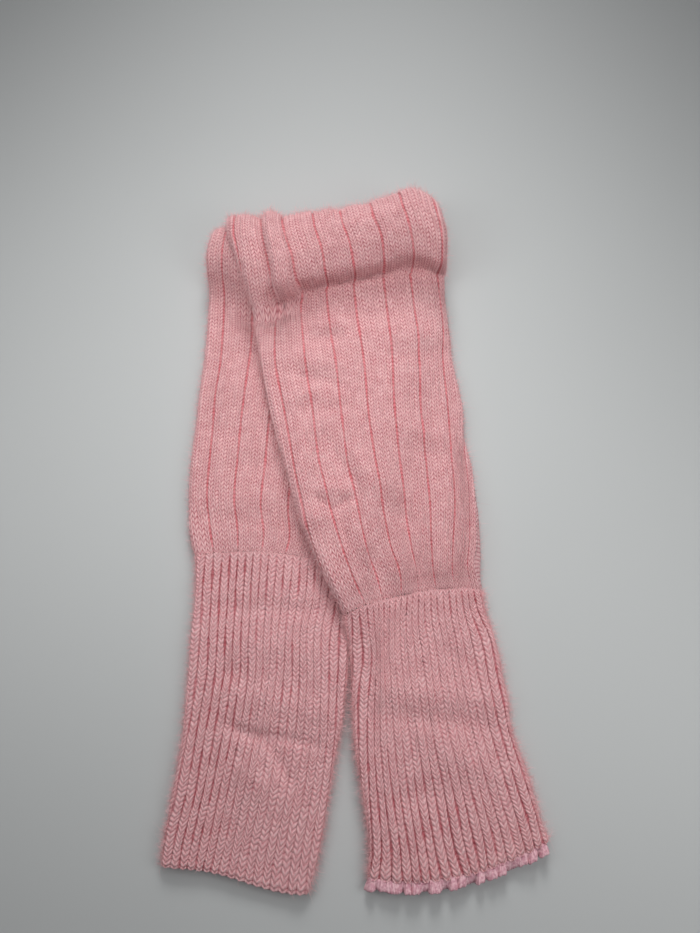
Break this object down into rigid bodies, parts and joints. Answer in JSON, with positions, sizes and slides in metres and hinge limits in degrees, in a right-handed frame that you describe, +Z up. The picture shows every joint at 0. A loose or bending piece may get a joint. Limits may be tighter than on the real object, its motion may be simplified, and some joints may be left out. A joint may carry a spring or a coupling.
{
  "type": "pair of leg warmers",
  "caption": "Pair of footless knitted leg tubes with wide-rib bodies and fine-rib cuffs, laid one over the other with their tops folded under into a soft roll.",
  "frame": {"origin": "on the surface the pair lies on, below the middle of its bounding box", "axes": "+X to the right across the two hems, +Y from the hems to the folded tops, +Z up from the surface"},
  "size_m": [0.2197, 0.4589, 0.0459],
  "materials": {
    "knit": "soft matt baby-pink rib knit with a light fuzz",
    "overlock": "mauve-pink overlocked thread edging"
  },
  "bodies": {
    "root": {"under_leg_cuff": "knit", "under_leg_body": "knit", "over_leg_cuff": "knit", "over_leg_body": "knit", "over_leg_hem_edging": "overlock", "tucked_tops": "knit"}
  },
  "joints": []
}
